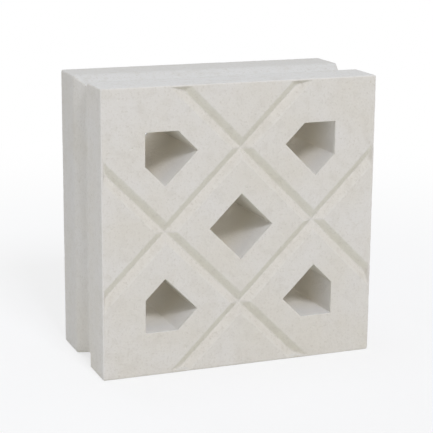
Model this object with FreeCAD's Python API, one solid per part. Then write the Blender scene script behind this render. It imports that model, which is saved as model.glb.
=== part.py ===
import FreeCAD, Part
import math
import os

# Decorative concrete screen block, one casting, standing on edge.
# X is the width, Y the thickness with the patterned face at -Y, Z is up.
# The origin is at the middle of the underside.

# Driving sizes, in millimetres
block_width = 190.0
block_height = 190.0
block_depth = 90.0

# Openings: a centre diamond and a clipped diamond in each corner
opening_diagonal = 43.6
corner_start = 61.3
corner_margin = 29.3
opening_corner_radius = 0.5

# Vee grooves across the patterned face, closed at their ends by a thin lip along the outline
face_groove_offset = 36.6
face_groove_width = 10.2
face_groove_slope = 38.0
face_groove_root_radius = 0.8
face_groove_margin = 0.3
face_groove_end_draft = 20.0

# Mortar key running round the four sides
key_width = 33.0
key_slope = 16.5
key_root_radius = 15.0
key_shoulder_radius = 4.0

# Rounded arrises
arris_radius = 1.0
rim_radius = 0.5

# How far the cutting shapes run past the surfaces
overrun = 5.0

front_y = -block_depth / 2
back_y = block_depth / 2
middle_z = block_height / 2


def bend(points, radii):
    # Closed outline through the points, each corner rounded by its radius
    count = len(points)
    starts = []
    middles = []
    ends = []
    for i in range(count):
        corner = FreeCAD.Vector(*points[i])
        before = (FreeCAD.Vector(*points[i - 1]) - corner).normalize()
        after = (FreeCAD.Vector(*points[(i + 1) % count]) - corner).normalize()
        half = before.getAngle(after) / 2
        if radii[i] == 0:
            starts.append(corner)
            middles.append(None)
            ends.append(corner)
            continue
        run = radii[i] / math.tan(half)
        inward = (before + after).normalize()
        starts.append(corner + before * run)
        middles.append(corner + inward * (radii[i] / math.sin(half) - radii[i]))
        ends.append(corner + after * run)
    edges = []
    for i in range(count):
        if middles[i] is not None:
            edges.append(Part.Arc(starts[i], middles[i], ends[i]).toShape())
        edges.append(Part.makeLine(ends[i], starts[(i + 1) % count]))
    return Part.Face(Part.Wire(edges))


def keyed_section(size):
    # Section across the thickness, as (across, depth): a bar notched by the key on both sides
    half = size / 2
    mouth = key_width / 2
    apex = half - mouth * math.tan(math.radians(key_slope))
    right = [(half, front_y), (half, -mouth), (apex, 0), (half, mouth), (half, back_y)]
    left = [(-across, y) for across, y in reversed(right)]
    side_radii = [0, key_shoulder_radius, key_root_radius, key_shoulder_radius, 0]
    return right + left, side_radii + side_radii


def keyed_body():
    points, radii = keyed_section(block_width)
    plan = bend([(x, y, 0) for x, y in points], radii)
    upright = plan.extrude(FreeCAD.Vector(0, 0, block_height))
    points, radii = keyed_section(block_height)
    profile = bend([(-block_width / 2, y, middle_z + z) for z, y in points], radii)
    across = profile.extrude(FreeCAD.Vector(block_width, 0, 0))
    return upright.common(across).removeSplitter()


def through(points):
    # Opening cut straight through the thickness, as (across, up) from the middle of the face
    outline = [(x, front_y - overrun, middle_z + z) for x, z in points]
    face = bend(outline, [opening_corner_radius] * len(outline))
    return face.extrude(FreeCAD.Vector(0, block_depth + 2 * overrun, 0))


def centre_opening():
    reach = opening_diagonal / 2
    return through([(reach, 0), (0, reach), (-reach, 0), (0, -reach)])


def corner_opening(side, level):
    # Clipped diamond in line with the centre one, its outer corner square to the block
    reach = opening_diagonal / 2
    inner = reach + corner_start
    far = (inner + reach) / 2
    near = (inner - reach) / 2
    out_x = block_width / 2 - corner_margin
    out_z = block_height / 2 - corner_margin
    points = [(out_x, out_z - reach), (out_x, out_z), (out_x - reach, out_z), (near, far), (far, near)]
    return through([(side * x, level * z) for x, z in points])


def face_groove(lean, side):
    # Vee across the face along a diagonal, on one side of the centre
    drop = math.tan(math.radians(face_groove_slope))
    half = face_groove_width / 2
    reach = half + overrun
    length = block_width + block_height
    section = [(x, -length / 2, (half - abs(x)) * drop) for x in (-reach, 0, reach)]
    tool = bend(section, [0, face_groove_root_radius, 0]).extrude(FreeCAD.Vector(0, length, 0))
    tool.translate(FreeCAD.Vector(side * face_groove_offset, 0, 0))
    tool.rotate(FreeCAD.Vector(0, 0, 0), FreeCAD.Vector(0, 0, 1), lean * 45)
    tool.rotate(FreeCAD.Vector(0, 0, 0), FreeCAD.Vector(1, 0, 0), -90)
    tool.translate(FreeCAD.Vector(0, front_y, middle_z))
    return tool


def groove_field():
    # The grooves stop where the rounded arris begins, a small margin inside it, with drafted ends
    lean = overrun * math.tan(math.radians(face_groove_end_draft))
    near = arris_radius + face_groove_margin - lean
    deep = arris_radius + face_groove_margin + lean
    half = block_width / 2
    return Part.makeWedge(
        near - half, front_y - overrun, near, deep, deep - half,
        half - near, front_y + overrun, block_height - near, block_height - deep, half - deep)


def on_plane(edge, y):
    return all(abs(v.Y - y) < 1e-4 for v in edge.Vertexes)


def outer_arrises(body):
    # The outlines of the two faces and the corners of the sides that join them
    found = []
    for edge in body.Edges:
        flat = on_plane(edge, front_y) or on_plane(edge, back_y)
        middle = edge.valueAt((edge.FirstParameter + edge.LastParameter) / 2)
        off_x = block_width / 2 - abs(middle.x)
        off_z = block_height / 2 - abs(middle.z - middle_z)
        corner = abs(off_x - off_z) < 1e-3 and off_x < key_width / 2
        if flat or corner:
            found.append(edge)
    return found


def opening_rims(body):
    # The edges of the openings where they meet the two faces
    half_x = (block_width - corner_margin) / 2
    half_z = (block_height - corner_margin) / 2
    found = []
    for edge in body.Edges:
        flat = on_plane(edge, front_y) or on_plane(edge, back_y)
        inside = all(abs(v.X) < half_x and abs(v.Z - middle_z) < half_z for v in edge.Vertexes)
        if flat and inside:
            found.append(edge)
    return found


signs = (-1, 1)
body = keyed_body()
body = body.makeFillet(arris_radius, outer_arrises(body))
openings = [centre_opening()] + [corner_opening(side, level) for side in signs for level in signs]
body = body.cut(openings)
body = body.makeFillet(rim_radius, opening_rims(body))
field = groove_field()
body = body.cut([face_groove(lean, side).common(field) for lean in signs for side in signs])
body = body.removeSplitter()
screen_block = body.Solids[0]

os.makedirs("parts", exist_ok=True)
screen_block.exportStep("parts/screen_block.step")
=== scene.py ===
import math
import random

import bmesh
import bpy
from mathutils import Matrix, Vector, noise
from mathutils.geometry import delaunay_2d_cdt


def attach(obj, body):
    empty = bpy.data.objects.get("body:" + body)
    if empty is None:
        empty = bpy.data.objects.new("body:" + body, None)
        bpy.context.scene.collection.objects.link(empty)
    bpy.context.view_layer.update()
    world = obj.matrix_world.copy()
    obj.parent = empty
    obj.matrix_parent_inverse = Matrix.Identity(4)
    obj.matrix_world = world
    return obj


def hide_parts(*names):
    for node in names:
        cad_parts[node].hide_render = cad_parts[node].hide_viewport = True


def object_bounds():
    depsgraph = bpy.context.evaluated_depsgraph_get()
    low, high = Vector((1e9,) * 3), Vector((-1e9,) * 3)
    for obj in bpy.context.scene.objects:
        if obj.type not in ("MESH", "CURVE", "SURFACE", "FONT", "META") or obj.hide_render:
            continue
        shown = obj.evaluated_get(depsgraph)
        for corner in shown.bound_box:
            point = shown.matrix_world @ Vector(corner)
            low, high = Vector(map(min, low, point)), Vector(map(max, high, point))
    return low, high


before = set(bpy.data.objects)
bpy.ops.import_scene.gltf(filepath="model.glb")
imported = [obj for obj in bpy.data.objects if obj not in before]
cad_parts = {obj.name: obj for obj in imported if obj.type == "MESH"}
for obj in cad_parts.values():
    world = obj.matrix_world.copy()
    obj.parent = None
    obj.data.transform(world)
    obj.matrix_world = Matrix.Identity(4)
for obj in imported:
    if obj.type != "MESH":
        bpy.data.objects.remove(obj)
cadLow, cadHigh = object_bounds()
mm = 0.001
root2 = math.sqrt(2)
print("frame loaded:", sorted(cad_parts))

# the cast block: millimetres and degrees, u to the right and v up from the middle of the face
block = {
    "arrisRadius": 1.0,          # outer edges
    "cornerRadius": 1.3,         # corners seen from the front
    "rimRadius": 0.5,            # edges of the openings
    "openingDiagonal": 43.6,     # centre diamond, point to point
    "openingCornerRadius": 0.5,
    "cornerStart": 61.3,         # centre diamond's edge to the corner openings, along u
    "cornerMargin": 29.3,        # corner openings to the outside
    "grooveOffset": 36.6,        # face grooves, square from the middle
    "grooveWidth": 10.2,
    "grooveSlope": 38.0,
    "grooveRoot": 0.2,           # softness along the bottom of a groove
    "grooveLip": 0.14,           # softness along its lips
    "crossingSharpness": 24,     # how sharply two grooves meet where they cross
    "grooveMargin": 0.3,         # the lip that closes a groove's end, inside the rounded arris
    "grooveEndDraft": 20.0,      # lean of that end, from square
    "grooveEndEase": 2.2,        # how softly it meets the bottom, less is softer
    "keyWidth": 33.0,            # mortar key round the sides
    "keySlope": 16.5,
    "keyRootRadius": 15.0,
    "faceStep": 2.0,             # mesh spacing on the front and sides
    "backStep": 2.4,             # on the plain back
    "wallStep": 3.0,             # and inside the openings
    "bendSteps": 4,              # faces across a rounded edge
    # what casting and handling leave on it
    "seed": 11,
    "wave": 0.14, "waveSize": 46.0,       # slow unevenness of the mould faces
    "ripple": 0.05, "rippleSize": 7.5,    # fine unevenness over it
    "rub": 0.06, "nibble": 0.45, "nibbleSize": 4.5,   # rounded and nibbled arrises
    "endWear": 0.35,                      # share of it where a rounded edge ends
    "rimWear": 0.55,                      # on the smaller rims of the openings
    "lipWear": 0.4,                       # and along the lips of the grooves
    "lipBand": (0.2, 0.7),                # middle of that worn band, inside the lip, and its reach
    "pitCount": 12, "pitRadius": (0.3, 0.6), "pitDepth": 0.7,   # air holes, depth as a share of the radius
    "pitReach": 1.15,                     # how far a pit's edge eases out, in radii
    "pitClear": 3.0,                      # pits stay this far inside a face's outline
    "pitApart": 6.0,                      # and this far from each other
}

half = cadHigh.x / mm
front = cadLow.y / mm
back = cadHigh.y / mm
middleUp = (cadLow.z + cadHigh.z) / 2 / mm
grooveStop = half - block["grooveOffset"] * root2   # where a groove's middle meets a side
grooveFull = block["grooveWidth"] / 2 * math.tan(math.radians(block["grooveSlope"]))
endLean = math.tan(math.radians(block["grooveEndDraft"]))
endInset = block["arrisRadius"] + block["grooveMargin"]


def evenStops(low, high, step):
    count = max(1, round((high - low) / step))
    return [low + (high - low) * i / count for i in range(count + 1)]


def bothWays(stops):
    return sorted(set(stops) | {-s for s in stops})


def refinedStops(centre, end, stretch):
    # even stops from the middle to the end, with closer ones over a groove
    close = [0, 0.45, 1.0, 2.2, 3.4, 4.3, 4.8, 5.1, 5.4, 5.8, 6.4, 7.4]
    zone = [centre + side * c * stretch for c in close for side in (-1, 1)]
    step = block["faceStep"]
    inner = evenStops(0, min(zone), step)[:-1]
    outer = evenStops(max(zone), end, step)[1:]
    return bothWays(inner + zone + outer)


sideStops = refinedStops(grooveStop, half - block["cornerRadius"], root2)
ringGap = 0.5       # from an edge to the ring inside it
netGap = 0.8        # and from there to the net
faceSlack = 0.01    # points this near the front belong to its face
pitLayer = 5.0      # points this near a face can be in one of its pits
pitNest = ((0.45, 6), (0.85, 9), (1.2, 12))     # points round a pit: share of its radius, and how many
nestShare = 1.3     # the net keeps off a pit by this share of its radius
nestGap = 0.5       # and this much more
endShares = (0, 0.35, 0.7, 1.1, 1.6, 2.2)       # rings over a groove's end, as shares of its run


def grooveDepth(u, v):
    cuts = []
    for along in (u + v, v - u):
        off = abs(abs(along) / root2 - block["grooveOffset"])
        rise = block["grooveWidth"] / 2 - math.hypot(off, block["grooveRoot"])
        rise *= math.tan(math.radians(block["grooveSlope"]))
        cuts.append((rise + math.hypot(rise, block["grooveLip"])) / 2)
    sharp = block["crossingSharpness"]
    deeper = sum(c ** sharp for c in cuts) ** (1 / sharp)      # the deeper of the two, softly
    room = max(0, half - endInset - max(abs(u), abs(v))) / endLean
    if deeper <= 0 or room <= 0:
        return 0
    ease = block["grooveEndEase"]
    return (deeper ** -ease + room ** -ease) ** (-1 / ease)


def grooveLip(u, v):
    inside, reach = block["lipBand"]
    near = 0
    for along, other in ((u + v, v - u), (v - u, u + v)):
        off = abs(abs(along) / root2 - block["grooveOffset"]) - block["grooveWidth"] / 2
        inCrossing = abs(abs(other) / root2 - block["grooveOffset"]) < block["grooveWidth"] / 2
        if not inCrossing:
            near = max(near, 1 - abs(off + inside) / reach)
    return max(0, near)


def keyDepth(y):
    slope = math.radians(block["keySlope"])
    mouth = block["keyWidth"] / 2
    radius = block["keyRootRadius"]
    bend = radius * math.sin(slope)
    y = abs(y)
    if y >= mouth:
        return 0
    if y > bend:
        return (mouth - y) * math.tan(slope)
    return (mouth - bend) * math.tan(slope) + math.sqrt(radius ** 2 - y ** 2) - radius * math.cos(slope)


def slid(u, inset):
    # a stop along a side, as the side moves in; those at a groove keep to it
    a = abs(u)
    a = a - inset if a > grooveStop else a * (grooveStop - inset) / grooveStop
    return math.copysign(a, u)


def outerRing(inset):
    radius = block["cornerRadius"]
    reach = half - inset - radius
    ring = []
    for turn in range(4):
        spin = Matrix.Rotation(turn * math.pi / 2, 2)
        side = [Vector((slid(u, inset), inset - half)) for u in sideStops]
        bend = []
        for k in range(1, block["bendSteps"]):
            a = (k / block["bendSteps"] - 1) * math.pi / 2
            bend.append(Vector((reach + radius * math.cos(a), radius * math.sin(a) - reach)))
        ring += [spin @ p for p in side + bend]
    return ring


def openingShapes():
    reach = block["openingDiagonal"] / 2
    inner = reach + block["cornerStart"]
    far, near = (inner + reach) / 2, (inner - reach) / 2
    out = half - block["cornerMargin"]
    shapes = [[(0, -reach), (reach, 0), (0, reach), (-reach, 0)]]
    corner = [(far, near), (out, out - reach), (out, out), (out - reach, out), (near, far)]
    for turn in range(4):
        spin = Matrix.Rotation(turn * math.pi / 2, 2)
        shapes.append([spin @ Vector(p) for p in corner])
    return [[Vector(p) for p in shape] for shape in shapes]


def outward(a, b):
    run = (b - a).normalized()
    return Vector((run.y, -run.x))


def insideShape(shape, point, grow):
    for a, b in zip(shape, shape[1:] + shape[:1]):
        if (point - a).dot(outward(a, b)) > grow:
            return False
    return True


def openingRing(shape, grow):
    # the opening's outline pushed out by grow, its corners rounded
    count = len(shape)
    radius = block["openingCornerRadius"] + grow
    corners = []
    for i, c in enumerate(shape):
        n1 = outward(shape[i - 1], c)
        n2 = outward(c, shape[(i + 1) % count])
        corners.append(c + (n1 + n2) * (grow / (1 + n1.dot(n2))))
    bends = []
    for i, c in enumerate(corners):
        before = (corners[i - 1] - c).normalized()
        after = (corners[(i + 1) % count] - c).normalized()
        angle = before.angle(after) / 2
        start = c + before * (radius / math.tan(angle))
        centre = c + (before + after).normalized() * (radius / math.sin(angle))
        steps = block["bendSteps"]
        turns = [(math.pi - 2 * angle) * k / steps for k in range(steps + 1)]
        bends.append([centre + Matrix.Rotation(t, 2) @ (start - centre) for t in turns])
    ring = []
    for i, bend in enumerate(bends):
        nextStart = bends[(i + 1) % count][0]
        length = (shape[(i + 1) % count] - shape[i]).length
        pieces = max(2, round(length / block["faceStep"]))
        ring += bend
        ring += [bend[-1].lerp(nextStart, k / pieces) for k in range(1, pieces)]
    return ring


def roundedEnd(radius):
    # depth below the face, step in from the side, and how exposed the spot is
    steps = block["bendSteps"]
    least = block["endWear"]
    stations = []
    for k in range(steps):
        a = k / steps * math.pi / 2
        exposed = least + (1 - least) * math.sin(2 * a)
        stations.append((radius * (1 - math.cos(a)), radius * (1 - math.sin(a)), exposed))
    return stations


def outerStations():
    radius = block["arrisRadius"]
    mouth = block["keyWidth"] / 2
    ends = roundedEnd(radius)
    step = block["faceStep"]
    plain = evenStops(front + radius, -mouth, step)[:-1]
    plain += evenStops(-mouth, mouth, step)
    plain += evenStops(mouth, back - radius, step)[1:]
    stations = [(front + d, s, w) for d, s, w in ends]
    for i, y in enumerate(plain):
        wear = block["endWear"] if i in (0, len(plain) - 1) else 0
        stations.append((y, keyDepth(y), wear))
    return stations + [(back - d, s, w) for d, s, w in reversed(ends)]


def openingStations():
    radius = block["rimRadius"]
    ends = [(d, s, w * block["rimWear"]) for d, s, w in roundedEnd(radius)]
    walls = evenStops(front + radius, back - radius, block["wallStep"])
    stations = [(front + d, s, w) for d, s, w in ends]
    stations += [(y, 0, 0) for y in walls]
    return stations + [(back - d, s, w) for d, s, w in reversed(ends)]


def coreShare(y):
    # the core's skin and its painted light start a little inside the rim
    return max(0, min(1, (min(y - front, back - y) - block["rimRadius"]) / block["wallStep"]))


def addRing(bm, ring, y, wear, layers, core=0):
    made = []
    for p in ring:
        v = bm.verts.new((p.x, y, middleUp + p.y))
        v[layers["wear"]] = wear
        v[layers["core"]] = core
        made.append(v)
    return made


def skin(bm, rings):
    for a, b in zip(rings, rings[1:]):
        for i in range(len(a)):
            j = (i + 1) % len(a)
            bm.faces.new((a[i], a[j], b[j], b[i]))


def pitSpots(rand, shapes):
    spots = []
    edge = half - block["arrisRadius"] - block["pitClear"]
    while len(spots) < block["pitCount"]:
        p = Vector((rand.uniform(-edge, edge), rand.uniform(-edge, edge)))
        radius = rand.uniform(*block["pitRadius"])
        clear = all(not insideShape(s, p, block["pitClear"]) for s in shapes)
        apart = all((p - q).length > block["pitApart"] for q, r in spots)
        if clear and apart:
            spots.append((p, radius))
    return spots


def supportRings(insets, shapes):
    # rings a little inside the edges of a face
    return [outerRing(s) for s in insets] + [openingRing(s, block["rimRadius"] + ringGap) for s in shapes]


def facePoints(stops, turned, limit, shapes, spots):
    # inner points of a face: an even net, and small nests for the pits
    rim = block["rimRadius"] + ringGap + netGap
    points = []
    for a in stops:
        for b in stops:
            p = Vector(((a - b) / root2, (a + b) / root2)) if turned else Vector((a, b))
            if max(abs(p.x), abs(p.y)) > limit:
                continue
            if any(insideShape(s, p, rim) for s in shapes):
                continue
            if all((p - q).length > r * nestShare + nestGap for q, r in spots):
                points.append(p)
    for q, r in spots:
        points.append(q)
        for share, count in pitNest:
            for k in range(count):
                a = math.tau * (k + share) / count
                points.append(q + Vector((math.cos(a), math.sin(a))) * r * share)
    return points


def fillFace(bm, y, rings, supports, points):
    edgeVerts = [v for ring in rings for v in ring]
    coords = [Vector((v.co.x, v.co.z - middleUp)) for v in edgeVerts]
    edges = []
    start = 0
    for ring in rings + supports:
        count = len(ring)
        edges += [(start + i, start + (i + 1) % count) for i in range(count)]
        start += count
    coords += [p for ring in supports for p in ring] + points
    flat, _, triangles, sources = delaunay_2d_cdt(coords, edges, [], 0, 1e-5, True)[:4]
    verts = []
    inner = set()
    for i, (p, source) in enumerate(zip(flat, sources)):
        if source and source[0] < len(edgeVerts):
            verts.append(edgeVerts[source[0]])
        else:
            verts.append(bm.verts.new((p.x, y, middleUp + p.y)))
            inner.add(i)
    for tri in triangles:
        if inner.intersection(tri):        # the others fill an opening or lie along the outline
            bm.faces.new([verts[i] for i in tri])


def cutGrooves(bm, layers):
    for v in bm.verts:
        if v.co.y > front + faceSlack:
            continue
        u, up = v.co.x, v.co.z - middleUp
        v.co.y += grooveDepth(u, up)
        v[layers["wear"]] = max(v[layers["wear"]], block["lipWear"] * grooveLip(u, up))


def weather(bm, pits, layers):
    bm.normal_update()
    shift = Vector((3.7, 9.1, 5.3)) * block["seed"]      # where in the noise this block lies
    reach = block["pitReach"]
    moves = []
    for v in bm.verts:
        wave = 0.5 + 0.5 * noise.noise(v.co / block["waveSize"] + shift)
        ripple = 0.5 + 0.5 * noise.noise(v.co / block["rippleSize"] + shift)
        nibble = max(0, noise.noise(v.co / block["nibbleSize"] - shift))
        wear = v[layers["wear"]]
        sink = wave * block["wave"] + ripple * block["ripple"]
        sink += wear * (block["rub"] + nibble * block["nibble"])
        for y, q, r in pits:
            if abs(v.co.y - y) < pitLayer:
                off = math.hypot(v.co.x - q.x, v.co.z - middleUp - q.y) / r
                if off < reach:
                    sink += r * block["pitDepth"] * (1 - (off / reach) ** 2)
        moves.append((v, v.co - v.normal * sink))
    for v, place in moves:
        v.co = place


def castBlock():
    bm = bmesh.new()
    layers = {
        "wear": bm.verts.layers.float.new("edgeWear"),
        "core": bm.verts.layers.float.new("coreSkin"),
    }
    rand = random.Random(block["seed"])
    shapes = openingShapes()

    frontRings, backRings = [], []
    rings = [addRing(bm, outerRing(s), y, w, layers) for y, s, w in outerStations()]
    skin(bm, rings)
    frontRings.append(rings[0])
    backRings.append(rings[-1])
    for shape in shapes:
        rings = []
        for y, s, w in openingStations():
            rings.append(addRing(bm, openingRing(shape, s), y, w, layers, coreShare(y)))
        skin(bm, rings)
        frontRings.append(rings[0])
        backRings.append(rings[-1])

    pits = []
    endRun = grooveFull * endLean
    frontInsets = [endInset + endRun * share for share in endShares]
    frontStops = refinedStops(block["grooveOffset"], half * root2, 1)
    backInsets = [block["arrisRadius"] + ringGap]
    backStops = bothWays(evenStops(0, half, block["backStep"]))
    sides = (
        (front, frontRings, frontInsets, frontStops, True),
        (back, backRings, backInsets, backStops, False),
    )
    for y, rings, insets, stops, turned in sides:
        spots = pitSpots(rand, shapes)
        pits += [(y, q, r) for q, r in spots]
        limit = half - insets[-1] - netGap
        points = facePoints(stops, turned, limit, shapes, spots)
        fillFace(bm, y, rings, supportRings(insets, shapes), points)

    bmesh.ops.recalc_face_normals(bm, faces=bm.faces)
    cutGrooves(bm, layers)
    weather(bm, pits, layers)
    bmesh.ops.scale(bm, vec=(mm, mm, mm), verts=bm.verts)
    for f in bm.faces:
        f.smooth = True
    mesh = bpy.data.meshes.new("castBlock")
    bm.to_mesh(mesh)
    bm.free()
    made = bpy.data.objects.new("castBlock", mesh)
    bpy.context.scene.collection.objects.link(made)
    print("block cast:", len(mesh.vertices), "points,", len(mesh.polygons), "faces")
    return made


# off-white concrete, colours as linear values
concrete = {
    "paleTone": (0.735, 0.709, 0.655),
    "warmTone": (0.712, 0.678, 0.602),
    "sandTone": (0.590, 0.555, 0.480),
    "wornTone": (0.760, 0.738, 0.690),
    "dustAndLightTone": (0.765, 0.732, 0.665),       # dust and painted light: paler on what leans back, as the lower sides of the grooves
    "bloomAndLightTone": (0.738, 0.732, 0.703),      # pale bloom and painted cool light on what lies level
    "undersideShadeTone": (0.702, 0.682, 0.572),      # painted shade, darker and warmer on undersides
    "backTone": (0.630, 0.610, 0.565),       # greyer and darker behind the mortar key
    "coreSkinAndLightTone": (0.893, 0.876, 0.848),       # paler skin that the cores leave in the openings, made paler still as painted light
    "coreDeepBounceTone": (0.945, 0.892, 0.785),   # painted warm bounce light further in
    "coreUnderTone": (0.755, 0.730, 0.640),  # painted shade, darker on the openings' undersides
    # lean where a tone begins and is full, up is 1 and down is -1, and its share there
    "dustAndLightLean": (0.1, 0.4, 0.0, 0.7),
    "bloomAndLightLean": (0.5, 0.9, 0.0, 0.85),
    "undersideShadeLean": (-0.1, -0.4, 0.0, 0.6),
    "coreUndersideShadeLean": (0.05, -0.35, 0.0, 1.0),
    # the same for tones that begin somewhere along the thickness, metres back from its middle
    "backStart": (0.014, 0.020, 0.0, 0.5),
    "coreDeepBounceStart": (-0.035, -0.010, 0.0, 1.0),
    "coreCover": 0.9,            # how far the openings' skin and painted light hide the mix below
    "cloudScale": 26.0,          # patches across the block, per metre
    "mottleScale": 150.0,        # smaller blotches
    "grainScale": 620.0,         # sand
    "peelScale": 230.0,          # soft orange peel left by the mould
    "speckScale": 330.0,         # scattered darker grains
    # levels of each pattern that show from and in full, and its share there
    "cloudCut": (0.35, 0.65, 0.0, 1.0),
    "mottleCut": (0.50, 0.72, 0.0, 0.3),
    "grainCut": (0.54, 0.74, 0.0, 0.65),
    "speckSize": (0.16, 0.10, 0.0, 1.0),
    "speckPick": (0.90, 0.94, 0.0, 0.5),
    "wornCut": (0.2, 1.0, 0.0, 1.0),
    "wornPatches": (0.35, 0.6, 0.3, 0.9),
    "roughness": (0.3, 0.7, 0.78, 0.94),
    "peelBump": (0.58, 0.0007),  # strength, and height in metres
    "grainBump": (0.7, 0.0005),
    "gloss": 0.3,
}


def nodeKit(owner):
    owner.use_nodes = True
    tree = owner.node_tree
    tree.nodes.clear()

    def add(kind, settings=None, **inputs):
        node = tree.nodes.new(kind)
        for key, value in (settings or {}).items():
            setattr(node, key, value)
        for key, value in inputs.items():
            socket = node.inputs[key.replace("_", " ")]
            if isinstance(value, bpy.types.NodeSocket):
                tree.links.new(value, socket)
            else:
                socket.default_value = value
        return node

    return tree, add


def concreteFinish():
    material = bpy.data.materials.new("castConcrete")
    tree, add = nodeKit(material)
    place = add("ShaderNodeTexCoord").outputs["Object"]

    def speckle(scale, detail, rough=0.5):
        node = add("ShaderNodeTexNoise", Vector=place, Scale=scale, Detail=detail, Roughness=rough)
        return node.outputs["Fac"]

    def remap(value, low, high, toLow, toHigh):
        node = add("ShaderNodeMapRange", Value=value, From_Min=low, From_Max=high,
                   To_Min=toLow, To_Max=toHigh)
        return node.outputs["Result"]

    def blend(amount, first, second):
        node = add("ShaderNodeMix", {"data_type": "RGBA"})
        for socket, value in ((node.inputs[0], amount), (node.inputs[6], first), (node.inputs[7], second)):
            if isinstance(value, bpy.types.NodeSocket):
                tree.links.new(value, socket)
            else:
                socket.default_value = (*value, 1.0)
        return node.outputs[2]

    def times(a, b):
        node = add("ShaderNodeMath", {"operation": "MULTIPLY"})
        tree.links.new(a, node.inputs[0])
        tree.links.new(b, node.inputs[1])
        return node.outputs[0]

    clouds = speckle(concrete["cloudScale"], 4.0)
    mottle = speckle(concrete["mottleScale"], 3.0, 0.6)
    grain = speckle(concrete["grainScale"], 3.0, 0.65)
    peel = speckle(concrete["peelScale"], 2.0)

    normal = add("ShaderNodeNewGeometry").outputs["Normal"]
    facing = add("ShaderNodeSeparateXYZ", Vector=normal).outputs["Z"]
    along = add("ShaderNodeSeparateXYZ", Vector=place).outputs["Y"]

    colour = blend(remap(clouds, *concrete["cloudCut"]), concrete["paleTone"], concrete["warmTone"])
    # dust and painted light: paler where a face leans back
    colour = blend(remap(facing, *concrete["dustAndLightLean"]), colour, concrete["dustAndLightTone"])
    # pale bloom and painted cool light on what lies level
    colour = blend(remap(facing, *concrete["bloomAndLightLean"]), colour, concrete["bloomAndLightTone"])
    # painted shade on what faces down
    colour = blend(remap(facing, *concrete["undersideShadeLean"]), colour, concrete["undersideShadeTone"])
    colour = blend(remap(along, *concrete["backStart"]), colour, concrete["backTone"])
    colour = blend(remap(mottle, *concrete["mottleCut"]), colour, concrete["sandTone"])
    colour = blend(remap(grain, *concrete["grainCut"]), colour, concrete["sandTone"])
    cells = add("ShaderNodeTexVoronoi", Vector=place, Scale=concrete["speckScale"], Randomness=1.0)
    pick = add("ShaderNodeSeparateColor", Color=cells.outputs["Color"]).outputs[0]
    spots = remap(cells.outputs["Distance"], *concrete["speckSize"])
    dots = times(spots, remap(pick, *concrete["speckPick"]))
    colour = blend(dots, colour, concrete["sandTone"])

    # openings: a paler skin, with painted light on it
    core = add("ShaderNodeAttribute", {"attribute_name": "coreSkin"}).outputs["Fac"]
    # painted warm bounce light further into the openings
    deep = remap(along, *concrete["coreDeepBounceStart"])
    coreColour = blend(deep, concrete["coreSkinAndLightTone"], concrete["coreDeepBounceTone"])
    # painted shade on the openings' undersides
    coreColour = blend(remap(facing, *concrete["coreUndersideShadeLean"]), coreColour, concrete["coreUnderTone"])
    colour = blend(remap(core, 0.0, 1.0, 0.0, concrete["coreCover"]), colour, coreColour)
    worn = add("ShaderNodeAttribute", {"attribute_name": "edgeWear"}).outputs["Fac"]
    patches = remap(clouds, *concrete["wornPatches"])
    rubbed = times(remap(worn, *concrete["wornCut"]), patches)
    colour = blend(rubbed, colour, concrete["wornTone"])

    rough = remap(grain, *concrete["roughness"])
    strength, height = concrete["peelBump"]
    bump = add("ShaderNodeBump", Height=peel, Strength=strength, Distance=height)
    strength, height = concrete["grainBump"]
    bump = add("ShaderNodeBump", Height=grain, Strength=strength, Distance=height,
               Normal=bump.outputs["Normal"])
    shader = add("ShaderNodeBsdfPrincipled", Base_Color=colour, Roughness=rough,
                 Normal=bump.outputs["Normal"])
    shader.inputs["Specular IOR Level"].default_value = concrete["gloss"]
    add("ShaderNodeOutputMaterial", Surface=shader.outputs["BSDF"])
    return material


# plain pale floor and soft light
studio = {
    "floorSize": 6.0,
    "floorTone": (0.88, 0.88, 0.88),
    "floorGlow": (0.72, 1.0),     # share of plain white the camera sees, beside the block and further off
    "glowReach": (0.15, 0.75),    # where that share starts and ends, from the middle
    "skyLight": 0.335,
    "skyTint": (1.06, 1.0, 0.87),
    "plainTint": (0.97, 1.0, 1.11),
    "coolTint": (0.88, 1.0, 1.26),
    # each lamp: watts, size and distance in metres, azimuth and elevation, tint
    "keyLight": (80.0, 0.98, 4.2, 0.0, 39.0, "plainTint"),
    "leftLight": (14.0, 1.6, 3.0, -95.0, 12.0, "coolTint"),
    "rightLight": (8.0, 1.6, 3.0, 95.0, 12.0, "coolTint"),
    "backLight": (16.0, 1.8, 3.0, -170.0, 22.0, "plainTint"),
    "topLight": (13.5, 1.6, 3.0, 180.0, 85.0, "coolTint"),
}


def seenDirectly(add):
    # camera, mirror and glass rays
    path = add("ShaderNodeLightPath")
    seen = path.outputs["Is Camera Ray"]
    for name in ("Is Glossy Ray", "Is Transmission Ray"):
        node = add("ShaderNodeMath", {"operation": "MAXIMUM"})
        node.id_data.links.new(seen, node.inputs[0])
        node.id_data.links.new(path.outputs[name], node.inputs[1])
        seen = node.outputs[0]
    return seen


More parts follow.
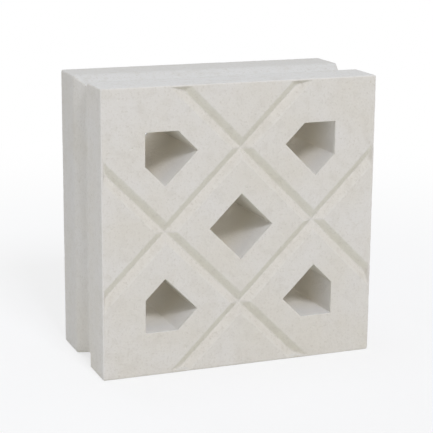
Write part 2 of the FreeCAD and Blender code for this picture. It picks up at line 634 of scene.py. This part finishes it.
def layFloor():
    size = studio["floorSize"] / 2
    mesh = bpy.data.meshes.new("floor")
    corners = [(-size, -size, 0), (size, -size, 0), (size, size, 0), (-size, size, 0)]
    mesh.from_pydata(corners, [], [(0, 1, 2, 3)])
    floor = bpy.data.objects.new("floor", mesh)
    bpy.context.scene.collection.objects.link(floor)
    material = bpy.data.materials.new("paleFloor")
    tree, add = nodeKit(material)
    paint = add("ShaderNodeBsdfDiffuse", Color=(*studio["floorTone"], 1.0))
    glow = add("ShaderNodeEmission", Color=(1, 1, 1, 1), Strength=1.0)
    place = add("ShaderNodeTexCoord").outputs["Object"]
    away = add("ShaderNodeVectorMath", {"operation": "LENGTH"})
    tree.links.new(place, away.inputs[0])
    near, far = studio["glowReach"]
    low, high = studio["floorGlow"]
    fade = add("ShaderNodeMapRange", {"interpolation_type": "SMOOTHSTEP"}, Value=away.outputs["Value"],
               From_Min=near, From_Max=far, To_Min=low, To_Max=high)
    share = add("ShaderNodeMath", {"operation": "MULTIPLY"})
    tree.links.new(seenDirectly(add), share.inputs[0])
    tree.links.new(fade.outputs["Result"], share.inputs[1])
    mix = add("ShaderNodeMixShader", Fac=share.outputs[0])
    tree.links.new(paint.outputs[0], mix.inputs[1])
    tree.links.new(glow.outputs[0], mix.inputs[2])
    add("ShaderNodeOutputMaterial", Surface=mix.outputs[0])
    mesh.materials.append(material)


def hangSky():
    world = bpy.data.worlds.new("studioSky")
    bpy.context.scene.world = world
    tree, add = nodeKit(world)
    ambient = add("ShaderNodeBackground", Color=(*studio["skyTint"], 1.0), Strength=studio["skyLight"])
    white = add("ShaderNodeBackground", Color=(1, 1, 1, 1), Strength=1.0)
    mix = add("ShaderNodeMixShader", Fac=seenDirectly(add))
    tree.links.new(ambient.outputs[0], mix.inputs[1])
    tree.links.new(white.outputs[0], mix.inputs[2])
    add("ShaderNodeOutputWorld", Surface=mix.outputs[0])


def around(target, azimuth, elevation, distance):
    az, el = math.radians(azimuth), math.radians(elevation)
    away = Vector((math.sin(az) * math.cos(el), -math.cos(az) * math.cos(el), math.sin(el)))
    return target + away * distance


def softbox(name, place, target, size, power, tint):
    data = bpy.data.lights.new(name, "AREA")
    data.shape = "SQUARE"
    data.size = size
    data.energy = power
    data.color = studio[tint]
    lamp = bpy.data.objects.new(name, data)
    lamp.location = place
    lamp.rotation_euler = (target - place).to_track_quat("-Z", "Y").to_euler()
    bpy.context.scene.collection.objects.link(lamp)


def lightBlock():
    target = (cadLow + cadHigh) / 2
    for name in ("keyLight", "leftLight", "rightLight", "backLight", "topLight"):
        power, size, distance, azimuth, elevation, tint = studio[name]
        softbox(name, around(target, azimuth, elevation, distance), target, size, power, tint)


# long lens from the front left, a little above
shot = {
    "target": (-0.3, -0.8, 91.6),
    "azimuth": -21.39, "elevation": 13.70, "roll": 0.445,
    "distance": 1011.0,
    "lens": 123.9, "sensor": 36.0,
}


def setCamera():
    target = Vector(shot["target"]) * mm
    place = around(target, shot["azimuth"], shot["elevation"], shot["distance"] * mm)
    forward = (target - place).normalized()
    level = forward.cross(Vector((0, 0, 1))).normalized()
    up = level.cross(forward)
    roll = math.radians(shot["roll"])
    axisX = level * math.cos(roll) + up * math.sin(roll)
    axisY = up * math.cos(roll) - level * math.sin(roll)
    data = bpy.data.cameras.new("camera")
    data.lens = shot["lens"]
    data.sensor_width = shot["sensor"]
    camera = bpy.data.objects.new("camera", data)
    camera.matrix_world = Matrix.Translation(place) @ Matrix((axisX, axisY, -forward)).transposed().to_4x4()
    bpy.context.scene.collection.objects.link(camera)
    bpy.context.scene.camera = camera


castPiece = castBlock()
castPiece.data.materials.append(concreteFinish())
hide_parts("screen_block")
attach(castPiece, "root")
print("finish on")

layFloor()
hangSky()
lightBlock()
setCamera()
bpy.context.scene.view_settings.view_transform = "Standard"
print("studio set")
